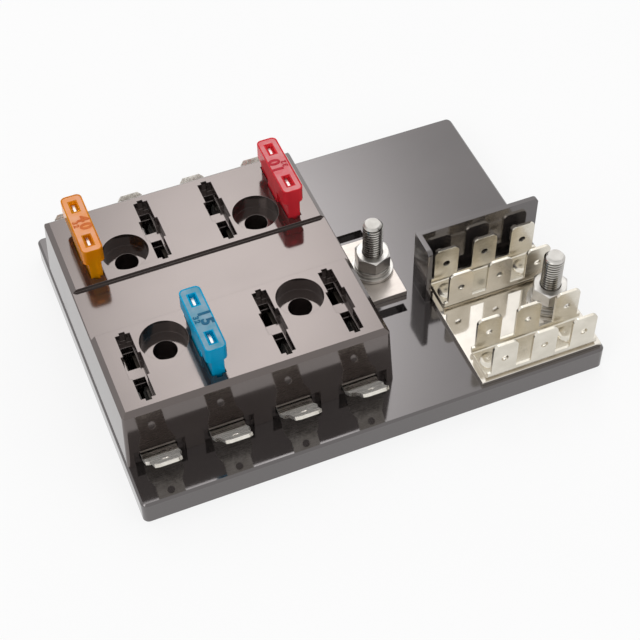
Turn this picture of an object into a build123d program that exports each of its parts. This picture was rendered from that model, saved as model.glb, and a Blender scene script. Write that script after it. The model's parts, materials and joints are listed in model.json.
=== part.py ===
"""Blade fuse panel: eight fuse sockets, a main stud and a ground bus on one moulded base.

Millimetres, +Z up. The origin is the middle of the underside of the base. +X runs from the
fuse housing towards the ground bus, and -Y is the side nearest the viewer.
"""
import os
from math import cos, radians, sin, tan

from build123d import *

os.makedirs("parts", exist_ok=True)

# Moulded base: a deck on a skirt, with ribs below. It is as long as what stands on it.
base_width = 87.2
base_height = 6.5
base_corner = 1.5
base_edge = 0.5
deck_skin = 2.4
skirt_wall = 2.2
rib_wall = 1.4
cells_along = 6
cells_across = 4
boss_wall = 1.2

# Two slots through the deck, either side of the main stud
slot_length = 10.0
slot_width = 2.4
slot_offset = -1.9
slot_spacing = 26.6
slot_rim = 1.2

# Barrier wall round the ground bus, moulded with the base
barrier_height = 17.7
barrier_wall = 1.3
barrier_return = 7.6
barrier_margin = 1.3
barrier_gap = 3.1
barrier_corner = 1.2

# Fuse housing
housing_length = 65.4
housing_width = 65.2
housing_height = 17.8
housing_margin = 0.3
housing_draft = 3.0
housing_corner = 0.9
housing_edge = 1.1
channel_width = 15.0
channel_depth = 0.9

# Fuse sockets in two rows
columns = 4
socket_pitch = 16.5
row_spacing = 38.0
socket_depth = 3.0
socket_floor = 2.0
socket_clearance = 0.2
key_width = 1.3
key_depth = 0.7
blade_slot_length = 6.6
blade_slot_width = 2.9
chamber_length = 6.2
chamber_clearance = 0.5

# Mounting screws, between the sockets
screw_spacing_across = 29.0
screw_hole_radius = 2.8
counterbore_radius = 5.6
counterbore_depth = 3.8

# Blade fuse of the common size
fuse_length = 19.1
fuse_thickness = 5.1
fuse_height = 18.8
fuse_head_height = 4.3
fuse_head_corner = 1.3
fuse_plastic_height = 11.6
fuse_waist_length = 18.6
fuse_waist_thickness = 3.0
fuse_rib_length = 6.2
fuse_rib_thickness = 4.2
fuse_seat_gap = 0.3
blade_width = 5.2
blade_spacing = 9.5
blade_thickness = 0.65
blade_tip_chamfer = 1.2
link_width = 1.4
link_drop = 6.4
window_spacing = 11.6
window_length = 3.4
window_width = 1.6
window_depth = 1.1

# Spring clips that grip the blades
strip_thickness = 0.8
clip_length = 4.8
clip_shoulder = 2.7
clip_shoulder_height = 5.0
clip_pinch_below_top = 2.0
clip_flare = 0.85
clip_top_clearance = 0.4
blade_clearance = 0.08

# Load terminals: push-on tabs that lean out. The small latch holes are drawn with few sides.
tab_width = 6.35
tab_angle = 46.0
tab_reach = 12.2
tab_hole_radius = 0.9
tab_hole_sides = 12
tab_hole_reach = 7.7
tab_tip_chamfer = 1.0
shank_width = 8.4
shank_reach = 4.1
shoulder_length = 1.9
shank_start = 3.5
terminal_bend = 1.2
terminal_setback = 0.4
terminal_clearance = 0.3
window_opening_width = 12.0
window_opening_height = 4.6
window_opening_depth = 2.2

# Bus bar below the housing
bar_width = 20.0
bar_thickness = 1.6
bar_reach = 13.5
bar_inset = 3.6
finger_width = 5.8
finger_reach = 2.7
bar_clearance = 0.3

# Studs and what is on them
stud_radius = 2.5
stud_top = 24.4
stud_tip_chamfer = 0.6
stud_head_height = 3.5
hex_across_flats = 8.0
pocket_clearance = 0.15
stud_clearance = 0.1
nut_height = 4.0
nut_thread_clearance = 0.09
washer_radius = 5.2
washer_thickness = 1.0
lock_washer_radius = 4.4
lock_washer_thickness = 1.3
lock_washer_split = 0.6
washer_clearance = 0.15
seat_gap = 0.05
main_nut_turn = 18.0
ground_nut_turn = 0.0
main_stud_setback = 5.0
ground_stud_setback = 5.65

# Ground plate and its two tab strips
plate_thickness = 1.2
plate_width = 34.3
plate_front_margin = 1.2
plate_side_margin = 0.75
plate_gap = 0.3
ground_columns = 3
ground_tab_pitch = 10.25
ground_row_spacing = 8.3
ground_tab_height = 11.5
ground_tab_hole_height = 6.5
ground_tab_corner = 0.9
strip_bend = 0.9
strip_upstand = 1.4
strip_end_margin = 0.9
strip_plate_margin = 1.35
strip_front_margin = 0.3
strip_rear_margin = 1.5

# Heights and places that follow from the sizes above
deck = base_height
deck_underside = deck - deck_skin
housing_top = deck + housing_height
strip_length = (ground_columns - 1) * ground_tab_pitch + tab_width + 2 * strip_end_margin
plate_length = strip_length + 2 * strip_plate_margin
bar_side_length = housing_margin + housing_length + bar_reach + barrier_gap
base_length = bar_side_length + barrier_wall + plate_gap + plate_length + plate_side_margin
housing_x = -base_length / 2 + housing_margin + housing_length / 2
face_inset = housing_height * tan(radians(housing_draft))
socket_bottom = housing_top - socket_depth
chamber_top = socket_bottom - socket_floor
clip_top = chamber_top - clip_top_clearance
clip_half = clip_shoulder + strip_thickness / 2
pinch_half = blade_thickness / 2 + blade_clearance + strip_thickness / 2
fuse_plastic_bottom = socket_bottom + fuse_seat_gap
fuse_top = fuse_plastic_bottom + fuse_plastic_height
column_places = [housing_x + socket_pitch * (i - (columns - 1) / 2) for i in range(columns)]
row_places = [-row_spacing / 2, row_spacing / 2]
load_blade = row_spacing / 2 + blade_spacing / 2
bus_blade = row_spacing / 2 - blade_spacing / 2
bar_end = housing_x + housing_length / 2 + bar_reach
main_stud_x = bar_end - main_stud_setback
slot_x = main_stud_x + slot_offset
plate_right = base_length / 2 - plate_side_margin
plate_left = plate_right - plate_length
plate_front = -base_width / 2 + plate_front_margin
plate_rear = plate_front + plate_width
barrier_rear = plate_rear + plate_gap + barrier_wall
strip_x = (plate_left + plate_right) / 2
barrier_left = plate_left - plate_gap - barrier_wall
strip_half_depth = (ground_row_spacing + strip_thickness) / 2
front_strip_y = plate_front + strip_front_margin + strip_half_depth
rear_strip_y = plate_rear - strip_rear_margin - strip_half_depth
ground_stud_x = plate_right - ground_stud_setback
ground_stud_y = (front_strip_y + rear_strip_y) / 2
plate_top = deck + plate_thickness
strip_floor_top = plate_top + strip_thickness


def socket_outline(clearance):
    """Stepped outline of a fuse waist, grown by a clearance on every side."""
    with BuildSketch() as outline:
        Rectangle(fuse_waist_thickness + 2 * clearance, fuse_waist_length + 2 * clearance)
        Rectangle(fuse_rib_thickness + 2 * clearance, fuse_rib_length + 2 * clearance)
    return outline.sketch


def clip_body(bottom):
    """Sheet clip with two sprung arms, centred on X = Y = 0, standing on Z = bottom."""
    middle = bottom + strip_thickness / 2
    shoulder_z = middle + clip_shoulder_height
    pinch_z = clip_top - clip_pinch_below_top
    flare_x = pinch_half + clip_flare
    with BuildPart() as clip:
        with BuildSketch(Plane.XZ):
            with BuildLine():
                arms = Polyline(
                    (-flare_x, clip_top + strip_thickness),
                    (-pinch_half, pinch_z),
                    (-clip_shoulder, shoulder_z),
                    (-clip_shoulder, middle),
                    (clip_shoulder, middle),
                    (clip_shoulder, shoulder_z),
                    (pinch_half, pinch_z),
                    (flare_x, clip_top + strip_thickness),
                )
                offset(arms, amount=strip_thickness / 2, kind=Kind.INTERSECTION)
            make_face()
            with Locations((0, clip_top)):
                Rectangle(
                    4 * clip_half,
                    4 * strip_thickness,
                    align=(Align.CENTER, Align.MIN),
                    mode=Mode.SUBTRACT,
                )
        extrude(amount=clip_length / 2, both=True)
    return clip.part


# Base plate: deck and skirt, waffle, bosses, slots and the barrier wall
screw_places = [
    (housing_x + side * socket_pitch, end * screw_spacing_across / 2)
    for side in (-1, 1)
    for end in (-1, 1)
]
stud_places = [(main_stud_x, 0.0), (ground_stud_x, ground_stud_y)]
cell_pitch_x = (base_length - 2 * skirt_wall + rib_wall) / cells_along
cell_pitch_y = (base_width - 2 * skirt_wall + rib_wall) / cells_across
pocket_across_flats = hex_across_flats + 2 * pocket_clearance

with BuildPart() as base:
    with BuildSketch():
        RectangleRounded(base_length, base_width, base_corner)
    extrude(amount=base_height)
    chamfer(base.faces().sort_by(Axis.Z)[-1].edges(), base_edge)
    with BuildSketch():
        with GridLocations(cell_pitch_x, cell_pitch_y, cells_along, cells_across):
            Rectangle(cell_pitch_x - rib_wall, cell_pitch_y - rib_wall)
    extrude(amount=deck_underside, mode=Mode.SUBTRACT)
    with BuildSketch():
        with Locations(*screw_places):
            Rectangle(2 * (screw_hole_radius + boss_wall), 2 * (screw_hole_radius + boss_wall))
        with Locations(*stud_places):
            RegularPolygon(pocket_across_flats / 2 + boss_wall, 6, major_radius=False)
        with Locations((slot_x, 0)):
            with GridLocations(0, slot_spacing, 1, 2):
                Rectangle(slot_length + 2 * slot_rim, slot_width + 2 * slot_rim)
    extrude(amount=deck_underside)
    with BuildSketch():
        with Locations(*screw_places):
            Circle(screw_hole_radius)
        with Locations(*stud_places):
            Circle(stud_radius + stud_clearance)
        with Locations((slot_x, 0)):
            with GridLocations(0, slot_spacing, 1, 2):
                Rectangle(slot_length, slot_width)
    extrude(amount=base_height, mode=Mode.SUBTRACT)
    with BuildSketch():
        with Locations(*stud_places):
            RegularPolygon(pocket_across_flats / 2, 6, major_radius=False)
    extrude(amount=deck_underside, mode=Mode.SUBTRACT)
    barrier_right = base_length / 2 - barrier_margin
    with BuildSketch(Plane.XZ.offset(-barrier_rear)) as back_wall:
        with BuildLine():
            Polyline(
                (barrier_left, deck),
                (barrier_right, deck),
                (barrier_right, deck + barrier_height),
                (barrier_left, deck + barrier_height),
                close=True,
            )
        make_face()
        fillet(back_wall.vertices().sort_by(Axis.X)[-2:].sort_by(Axis.Y)[-1], barrier_corner)
    extrude(amount=barrier_wall)
    with BuildSketch(Plane.YZ.offset(barrier_left)) as return_wall:
        with BuildLine():
            Polyline(
                (barrier_rear - barrier_return, deck),
                (barrier_rear, deck),
                (barrier_rear, deck + barrier_height),
                (barrier_rear - barrier_return, deck + barrier_height),
                close=True,
            )
        make_face()
        fillet(return_wall.vertices().sort_by(Axis.X)[:2].sort_by(Axis.Y)[-1], barrier_corner)
    extrude(amount=barrier_wall)
base.part.label = "base_plate"
export_step(base.part, "parts/base_plate.step")

# Fuse housing: drafted block, lands and channel, sockets, screw holes and clip chambers
with BuildPart() as housing:
    with BuildSketch(Plane.XY.offset(deck)):
        with Locations((housing_x, 0)):
            Rectangle(housing_length, housing_width)
    extrude(amount=housing_height, taper=housing_draft)
    chamfer(housing.faces().sort_by(Axis.Z)[-1].edges(), housing_edge)
    corners = housing.edges().filter_by(lambda edge: edge.bounding_box().size.Z > 2 * housing_edge)
    fillet(corners, housing_corner)
    with BuildSketch(Plane.XY.offset(housing_top)):
        with Locations((housing_x, 0)):
            Rectangle(housing_length, channel_width)
    extrude(amount=-channel_depth, mode=Mode.SUBTRACT)
    with BuildSketch(Plane.XY.offset(housing_top)):
        with Locations(*screw_places):
            Circle(counterbore_radius)
    extrude(amount=-counterbore_depth, mode=Mode.SUBTRACT)
    with BuildSketch(Plane.XY.offset(deck)):
        with Locations(*screw_places):
            Circle(screw_hole_radius)
    extrude(amount=housing_height, mode=Mode.SUBTRACT)
    key_reach = fuse_waist_length / 2 + socket_clearance + key_depth
    with BuildSketch(Plane.XY.offset(housing_top)):
        with Locations((housing_x, 0)):
            with GridLocations(socket_pitch, row_spacing, columns, 2):
                add(socket_outline(socket_clearance))
                Rectangle(key_width, 2 * key_reach)
    extrude(amount=-socket_depth, mode=Mode.SUBTRACT)
    with BuildSketch(Plane.XY.offset(socket_bottom)):
        with Locations((housing_x, 0)):
            with GridLocations(socket_pitch, row_spacing, columns, 2):
                with GridLocations(0, blade_spacing, 1, 2):
                    Rectangle(blade_slot_width, blade_slot_length)
    extrude(amount=-socket_floor, mode=Mode.SUBTRACT)
    with BuildSketch(Plane.XY.offset(deck)):
        with Locations((housing_x, 0)):
            with GridLocations(socket_pitch, row_spacing, columns, 2):
                with GridLocations(0, blade_spacing, 1, 2):
                    Rectangle(2 * (clip_half + chamber_clearance), chamber_length)
    extrude(amount=chamber_top - deck, mode=Mode.SUBTRACT)
    # Room for the bus bar and its fingers
    finger_end = bus_blade + finger_reach + bar_clearance
    with BuildSketch(Plane.XY.offset(deck)):
        with Locations((housing_x - housing_length / 2 + bar_inset - bar_clearance, 0)):
            Rectangle(housing_length, bar_width + 2 * bar_clearance, align=(Align.MIN, Align.CENTER))
        with Locations((housing_x, 0)):
            with GridLocations(socket_pitch, 0, columns, 1):
                Rectangle(finger_width + 2 * bar_clearance, 2 * finger_end)
    extrude(amount=bar_thickness + bar_clearance, mode=Mode.SUBTRACT)
    # Tunnels for the load terminals, and the window that each one leaves by
    tunnel_start = load_blade + clip_length / 2 - terminal_clearance
    window_start = housing_width / 2 - window_opening_depth
    with BuildSketch(Plane.XY.offset(deck)):
        with Locations((housing_x, 0)):
            with GridLocations(socket_pitch, housing_width + 2 * tunnel_start, columns, 2):
                Rectangle(shank_width + 2 * terminal_clearance, housing_width)
    extrude(amount=strip_thickness + terminal_clearance, mode=Mode.SUBTRACT)
    with BuildSketch(Plane.XY.offset(deck)):
        with Locations((housing_x, 0)):
            with GridLocations(socket_pitch, housing_width + 2 * window_start, columns, 2):
                Rectangle(window_opening_width, housing_width)
    extrude(amount=window_opening_height, mode=Mode.SUBTRACT)
housing.part.label = "fuse_housing"
export_step(housing.part, "parts/fuse_housing.step")

# Bus bar: a spine with one finger under each inner clip
bar_start = housing_x - housing_length / 2 + bar_inset
with BuildPart() as bus_bar:
    with BuildSketch(Plane.XY.offset(deck)) as bar_plan:
        with Locations(((bar_start + bar_end) / 2, 0)):
            Rectangle(bar_end - bar_start, bar_width)
        with Locations((housing_x, 0)):
            with GridLocations(socket_pitch, 0, columns, 1):
                Rectangle(finger_width, 2 * (bus_blade + finger_reach))
        with Locations((main_stud_x, 0)):
            Circle(stud_radius + stud_clearance, mode=Mode.SUBTRACT)
    extrude(amount=bar_thickness)
bus_bar.part.label = "bus_bar"
export_step(bus_bar.part, "parts/bus_bar.step")

# Inner clips, each brazed to its finger of the bus bar
bar_top = deck + bar_thickness
inner_clip = clip_body(bar_top)
for row, side in (("front", -1), ("rear", 1)):
    for column, x in enumerate(column_places):
        clip = inner_clip.moved(Location((x, side * bus_blade, 0)))
        clip.label = f"bus_clip_{row}_{column + 1}"
        export_step(clip, f"parts/{clip.label}.step")

# Load terminal: an outer clip, a foot and a push-on tab, in one strip. Drawn for the -Y side.
terminal_corner = -(housing_width / 2 - terminal_setback)
foot_middle = deck + strip_thickness / 2
blank_reach = tab_reach + strip_thickness
blank_end = terminal_corner - blank_reach * cos(radians(tab_angle))
blank_end_height = foot_middle + blank_reach * sin(radians(tab_angle))
tab_plane = Plane(
    origin=(0, terminal_corner, foot_middle),
    x_dir=(1, 0, 0),
    z_dir=(0, sin(radians(tab_angle)), cos(radians(tab_angle))),
)
with BuildPart() as terminal:
    with BuildSketch(Plane.YZ):
        with BuildLine():
            foot = FilletPolyline(
                (-load_blade, foot_middle),
                (terminal_corner, foot_middle),
                (blank_end, blank_end_height),
                radius=terminal_bend,
            )
            offset(foot, amount=strip_thickness / 2)
        make_face()
    extrude(amount=shank_width / 2, both=True)
    with BuildSketch(tab_plane):
        with Locations((0, -shank_reach)):
            Rectangle(2 * shank_width, 2 * tab_reach, align=(Align.CENTER, Align.MAX))
        with BuildLine():
            Polyline(
                (-shank_width / 2, -shank_reach + 0.01),
                (-tab_width / 2, -shank_reach - shoulder_length),
                (-tab_width / 2, -tab_reach + tab_tip_chamfer),
                (-tab_width / 2 + tab_tip_chamfer, -tab_reach),
                (tab_width / 2 - tab_tip_chamfer, -tab_reach),
                (tab_width / 2, -tab_reach + tab_tip_chamfer),
                (tab_width / 2, -shank_reach - shoulder_length),
                (shank_width / 2, -shank_reach + 0.01),
                close=True,
            )
        make_face(mode=Mode.SUBTRACT)
    extrude(amount=strip_thickness, both=True, mode=Mode.SUBTRACT)
    with BuildSketch(tab_plane):
        with Locations((0, -tab_hole_reach)):
            RegularPolygon(tab_hole_radius, tab_hole_sides)
    extrude(amount=strip_thickness, both=True, mode=Mode.SUBTRACT)
    shank_inner = load_blade + shank_start
    with BuildSketch(Plane.XY.offset(deck - strip_thickness)):
        with Locations((0, -shank_inner)):
            with GridLocations(2 * clip_half + shank_width, 0, 2, 1):
                Rectangle(shank_width, housing_width, align=(Align.CENTER, Align.MIN))
    extrude(amount=3 * strip_thickness, mode=Mode.SUBTRACT)
    with Locations((0, -load_blade, 0)):
        add(clip_body(deck))

for row, turn in (("front", 0), ("rear", 180)):
    for column, x in enumerate(column_places):
        blade = terminal.part.moved(Location((x, 0, 0), (0, 0, turn)))
        blade.label = f"load_terminal_{row}_{column + 1}"
        export_step(blade, f"parts/{blade.label}.step")

# Blade fuse: the element is drawn first, then the plastic is moulded round it
blade_bottom = fuse_top - fuse_height
link_height = fuse_top - fuse_head_height - link_drop / 2
with BuildPart() as element:
    with BuildSketch(Plane.YZ) as element_profile:
        for side in (-1, 1):
            with BuildLine():
                Polyline(
                    (side * (blade_spacing + blade_width) / 2, fuse_top - window_depth),
                    (side * (blade_spacing - blade_width) / 2, fuse_top - window_depth),
                    (side * (blade_spacing - blade_width) / 2, blade_bottom + blade_tip_chamfer),
                    (side * ((blade_spacing - blade_width) / 2 + blade_tip_chamfer), blade_bottom),
                    (side * ((blade_spacing + blade_width) / 2 - blade_tip_chamfer), blade_bottom),
                    (side * (blade_spacing + blade_width) / 2, blade_bottom + blade_tip_chamfer),
                    close=True,
                )
            make_face()
        with BuildLine():
            arch = FilletPolyline(
                (-blade_spacing / 2 + blade_width / 4, link_height - link_drop / 2),
                (-link_width / 2 - link_width / 4, link_height + link_drop / 2 - link_width),
                (link_width / 2 + link_width / 4, link_height + link_drop / 2 - link_width),
                (blade_spacing / 2 - blade_width / 4, link_height - link_drop / 2),
                radius=link_width / 2,
            )
            offset(arch, amount=link_width / 2)
        make_face()
    extrude(amount=blade_thickness / 2, both=True)

with BuildPart() as fuse_body:
    with BuildSketch(Plane.XY.offset(fuse_top)):
        RectangleRounded(fuse_thickness, fuse_length, fuse_head_corner)
    extrude(amount=-fuse_head_height)
    with BuildSketch(Plane.XY.offset(fuse_plastic_bottom)):
        add(socket_outline(0))
    extrude(amount=fuse_plastic_height - fuse_head_height)
    with BuildSketch(Plane.XY.offset(fuse_top)):
        with GridLocations(0, window_spacing, 1, 2):
            Rectangle(window_width, window_length)
    extrude(amount=-window_depth, mode=Mode.SUBTRACT)
    add(element.part, mode=Mode.SUBTRACT)

fitted_fuses = {
    "orange": (column_places[0], row_places[1]),
    "blue": (column_places[1], row_places[0]),
    "red": (column_places[3], row_places[1]),
}
for colour, (x, y) in fitted_fuses.items():
    place = Location((x, y, 0))
    plastic = fuse_body.part.moved(place)
    plastic.label = f"fuse_{colour}_body"
    export_step(plastic, f"parts/{plastic.label}.step")
    metal = element.part.moved(place)
    metal.label = f"fuse_{colour}_element"
    export_step(metal, f"parts/{metal.label}.step")

# Ground plate
plate_x = (plate_left + plate_right) / 2
plate_y = (plate_front + plate_rear) / 2
with BuildPart() as ground_plate:
    with BuildSketch(Plane.XY.offset(deck)):
        with Locations((plate_x, plate_y)):
            Rectangle(plate_length, plate_width)
        with Locations((ground_stud_x, ground_stud_y)):
            Circle(stud_radius + stud_clearance, mode=Mode.SUBTRACT)
    extrude(amount=plate_thickness)
ground_plate.part.label = "ground_plate"
export_step(ground_plate.part, "parts/ground_plate.step")

# Ground tab strip: a channel whose two sides are cut into tabs
tab_half_depth = ground_row_spacing / 2
ground_tab_top = plate_top + ground_tab_height
upstand_top = strip_floor_top + strip_upstand
with BuildPart() as strip:
    with BuildSketch(Plane.YZ):
        with BuildLine():
            channel = FilletPolyline(
                (-tab_half_depth, ground_tab_top + strip_thickness),
                (-tab_half_depth, plate_top + strip_thickness / 2),
                (tab_half_depth, plate_top + strip_thickness / 2),
                (tab_half_depth, ground_tab_top + strip_thickness),
                radius=strip_bend,
            )
            offset(channel, amount=strip_thickness / 2)
        make_face()
    extrude(amount=strip_length / 2, both=True)
    with BuildSketch(Plane.XZ) as blanks:
        with Locations((0, upstand_top)):
            Rectangle(2 * strip_length, ground_tab_height, align=(Align.CENTER, Align.MIN))
        with GridLocations(ground_tab_pitch, 0, ground_columns, 1):
            with Locations((0, ground_tab_top)):
                Rectangle(
                    tab_width,
                    ground_tab_height,
                    align=(Align.CENTER, Align.MAX),
                    mode=Mode.SUBTRACT,
                )
    extrude(amount=ground_row_spacing, both=True, mode=Mode.SUBTRACT)
    tab_corners = (
        strip.edges()
        .filter_by(Axis.Y)
        .filter_by_position(Axis.Z, ground_tab_top - 0.1, ground_tab_top + 0.1)
    )
    chamfer(tab_corners, ground_tab_corner)
    with BuildSketch(Plane.XZ):
        with GridLocations(ground_tab_pitch, 0, ground_columns, 1):
            with Locations((0, plate_top + ground_tab_hole_height)):
                RegularPolygon(tab_hole_radius, tab_hole_sides)
    extrude(amount=ground_row_spacing, both=True, mode=Mode.SUBTRACT)

for name, y in (("front", front_strip_y), ("rear", rear_strip_y)):
    tabs = strip.part.moved(Location((strip_x, y, 0)))
    tabs.label = f"ground_strip_{name}"
    export_step(tabs, f"parts/{tabs.label}.step")

# Studs: screws with their hexagon heads held in the base
stud_bottom = deck_underside - stud_head_height
with BuildPart() as stud:
    with BuildSketch(Plane.XY.offset(stud_bottom)):
        RegularPolygon(hex_across_flats / 2, 6, major_radius=False)
    extrude(amount=stud_head_height)
    with BuildSketch(Plane.XY.offset(deck_underside)):
        Circle(stud_radius)
    extrude(amount=stud_top - deck_underside)
    chamfer(stud.faces().sort_by(Axis.Z)[-1].edges(), stud_tip_chamfer)

with BuildPart() as nut:
    with BuildSketch():
        RegularPolygon(hex_across_flats / 2, 6, major_radius=False)
        Circle(stud_radius + nut_thread_clearance, mode=Mode.SUBTRACT)
    extrude(amount=nut_height)

with BuildPart() as flat_washer:
    with BuildSketch():
        Circle(washer_radius)
        Circle(stud_radius + washer_clearance, mode=Mode.SUBTRACT)
    extrude(amount=washer_thickness)

# The split of the lock washer leans like the thread
with BuildPart() as lock_washer:
    with BuildSketch():
        Circle(lock_washer_radius)
        Circle(stud_radius + washer_clearance, mode=Mode.SUBTRACT)
    extrude(amount=lock_washer_thickness)
    with BuildSketch(Plane.YZ):
        with BuildLine():
            Polyline(
                (-lock_washer_split, 0),
                (0, 0),
                (lock_washer_split, lock_washer_thickness),
                (0, lock_washer_thickness),
                close=True,
            )
        make_face()
    extrude(amount=2 * lock_washer_radius, mode=Mode.SUBTRACT)

for name, x, y, seat, turn in (
    ("main", main_stud_x, 0.0, bar_top, main_nut_turn),
    ("ground", ground_stud_x, ground_stud_y, plate_top, ground_nut_turn),
):
    washer_z = seat + seat_gap
    lock_z = washer_z + washer_thickness + seat_gap
    nut_z = lock_z + lock_washer_thickness + seat_gap
    pieces = {
        f"{name}_stud": (stud.part, 0.0),
        f"{name}_flat_washer": (flat_washer.part, washer_z),
        f"{name}_lock_washer": (lock_washer.part, lock_z),
        f"{name}_nut": (nut.part.moved(Rotation(0, 0, turn)), nut_z),
    }
    for label, (shape, z) in pieces.items():
        piece = shape.moved(Location((x, y, z)))
        piece.label = label
        export_step(piece, f"parts/{label}.step")
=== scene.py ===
"""Looks of a blade fuse block: glossy black mouldings, tinned sheet metal, plated studs, tinted fuses.

Metres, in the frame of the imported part: +X along the base, +Z up, the viewer on the -Y side.
"""

import json
import logging
from dataclasses import dataclass, field
from enum import Enum
from math import cos, pi, radians, sin

import bmesh
import bpy
from mathutils import Matrix, Vector

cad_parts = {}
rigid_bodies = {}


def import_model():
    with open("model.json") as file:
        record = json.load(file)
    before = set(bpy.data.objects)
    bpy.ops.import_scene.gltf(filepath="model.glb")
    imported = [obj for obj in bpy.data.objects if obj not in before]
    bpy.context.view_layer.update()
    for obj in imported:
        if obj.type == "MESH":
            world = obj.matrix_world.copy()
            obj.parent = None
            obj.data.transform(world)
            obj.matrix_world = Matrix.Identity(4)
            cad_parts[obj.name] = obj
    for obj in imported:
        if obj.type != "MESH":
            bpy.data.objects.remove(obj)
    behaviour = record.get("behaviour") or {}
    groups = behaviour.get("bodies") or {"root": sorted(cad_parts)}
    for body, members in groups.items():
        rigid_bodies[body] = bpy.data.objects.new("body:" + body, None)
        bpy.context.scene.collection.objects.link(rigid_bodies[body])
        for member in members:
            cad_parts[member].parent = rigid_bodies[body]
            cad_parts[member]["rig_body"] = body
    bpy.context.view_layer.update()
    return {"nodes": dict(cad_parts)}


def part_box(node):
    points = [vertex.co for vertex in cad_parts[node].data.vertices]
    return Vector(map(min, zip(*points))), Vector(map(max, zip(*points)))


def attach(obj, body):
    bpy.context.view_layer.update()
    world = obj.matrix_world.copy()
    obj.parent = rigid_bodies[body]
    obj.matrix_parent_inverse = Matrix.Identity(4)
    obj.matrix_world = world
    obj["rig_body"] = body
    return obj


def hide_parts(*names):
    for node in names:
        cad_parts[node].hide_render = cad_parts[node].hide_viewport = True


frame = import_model()

MM = 0.001
LOG = logging.getLogger("fuse_block")

Colour = tuple[float, float, float]
Place = tuple[float, float, float]
Material = bpy.types.Material
Node = bpy.types.Node
Socket = bpy.types.NodeSocket
Tree = bpy.types.NodeTree
Edge = bmesh.types.BMEdge
Shape = bmesh.types.BMesh
Vertex = bmesh.types.BMVert

# Distances are in metres and turns between faces in degrees.
COLUMNS = range(1, 5)
MERGE_DISTANCE = 0.001 * MM
CUT_DISTANCE = 1e-7
FLAT_TURN = 0.5
CORNER_TURN = 30.0
SMOOTH_TURN = 32.0
HARD_TURN = 35.0
WAVE_DEPTH = 0.02 * MM
SMEAR_SPREAD = 0.08


class Row(Enum):
    """The two rows of sockets, seen from the viewer's side."""

    FRONT = "front"
    REAR = "rear"


@dataclass(frozen=True)
class FuseKind:
    """A fuse's rating, which way it stands, and the looks of its body, frost and figures."""

    rating: str
    turned: bool
    tint: Colour
    deep: Colour
    clear: float
    frost: Colour
    frost_speck: Colour
    frost_roughness: float
    figures: Colour
    figures_speck: Colour


FUSES = {
    "orange": FuseKind(
        rating="40",
        turned=False,
        tint=(1.0, 0.4, 0.001),
        deep=(1.0, 0.27, 0.001),
        clear=0.5,
        frost=(0.78, 0.4, 0.25),
        frost_speck=(0.8, 0.3, 0.08),
        frost_roughness=0.45,
        figures=(0.5, 0.09, 0.01),
        figures_speck=(0.62, 0.16, 0.03),
    ),
    "blue": FuseKind(
        rating="15",
        turned=False,
        tint=(0.0, 0.5, 0.85),
        deep=(0.0, 0.34, 0.62),
        clear=0.4,
        frost=(0.26, 0.38, 0.47),
        frost_speck=(0.09, 0.29, 0.4),
        frost_roughness=0.5,
        figures=(0.0, 0.07, 0.15),
        figures_speck=(0.0, 0.13, 0.24),
    ),
    "red": FuseKind(
        rating="10",
        turned=True,
        tint=(1.0, 0.05, 0.07),
        deep=(0.86, 0.02, 0.035),
        clear=0.45,
        frost=(0.68, 0.3, 0.3),
        frost_speck=(0.7, 0.14, 0.16),
        frost_roughness=0.45,
        figures=(0.36, 0.0, 0.012),
        figures_speck=(0.5, 0.01, 0.03),
    ),
}


def new_group(name: str, outputs: list[str]) -> tuple[Tree, Socket]:
    """Make a shader node group with a vector input and a size that scales it.

    Args:
        name: name of the group.
        outputs: number outputs.

    Returns:
        The node tree, with its Group Input and Group Output nodes in place, and the scaled vector.
    """
    tree = bpy.data.node_groups.new(name, "ShaderNodeTree")
    tree.interface.new_socket("Vector", in_out="INPUT", socket_type="NodeSocketVector")
    size = tree.interface.new_socket("Size", in_out="INPUT", socket_type="NodeSocketFloat")
    size.default_value = 1.0
    for label in outputs:
        tree.interface.new_socket(label, in_out="OUTPUT", socket_type="NodeSocketFloat")
    source = tree.nodes.new("NodeGroupInput").outputs
    tree.nodes.new("NodeGroupOutput").name = "Out"
    scaled = tree.nodes.new("ShaderNodeVectorMath")
    scaled.operation = "SCALE"
    tree.links.new(source["Vector"], scaled.inputs[0])
    tree.links.new(source["Size"], scaled.inputs["Scale"])
    return tree, scaled.outputs["Vector"]


def noise_node(
    tree: Tree,
    vector: Socket,
    scale: float,
    detail: float,
    stretch: tuple[float, float, float] = (1.0, 1.0, 1.0),
) -> Socket:
    """Add a noise texture on a stretched vector.

    Args:
        tree: the node tree to add to.
        vector: socket with the coordinates, in metres.
        scale: noise scale, per metre.
        detail: octaves of detail.
        stretch: factor along each axis before the noise is read.

    Returns:
        The noise's Fac socket.
    """
    mapping = tree.nodes.new("ShaderNodeMapping")
    mapping.inputs["Scale"].default_value = stretch
    tree.links.new(vector, mapping.inputs["Vector"])
    noise = tree.nodes.new("ShaderNodeTexNoise")
    noise.inputs["Scale"].default_value = scale
    noise.inputs["Detail"].default_value = detail
    tree.links.new(mapping.outputs["Vector"], noise.inputs["Vector"])
    return noise.outputs["Fac"]


def ranged(
    tree: Tree,
    value: Socket,
    low: float,
    high: float,
    from_low: float = 0.3,
    from_high: float = 0.7,
) -> Socket:
    """Add a clamped Map Range node.

    Args:
        tree: the node tree to add to.
        value: the number to map.
        low: result at from_low.
        high: result at from_high.
        from_low: start of the input range.
        from_high: end of the input range.

    Returns:
        The mapped number's socket.
    """
    node = tree.nodes.new("ShaderNodeMapRange")
    node.inputs["From Min"].default_value = from_low
    node.inputs["From Max"].default_value = from_high
    node.inputs["To Min"].default_value = low
    node.inputs["To Max"].default_value = high
    tree.links.new(value, node.inputs["Value"])
    return node.outputs["Result"]


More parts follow.
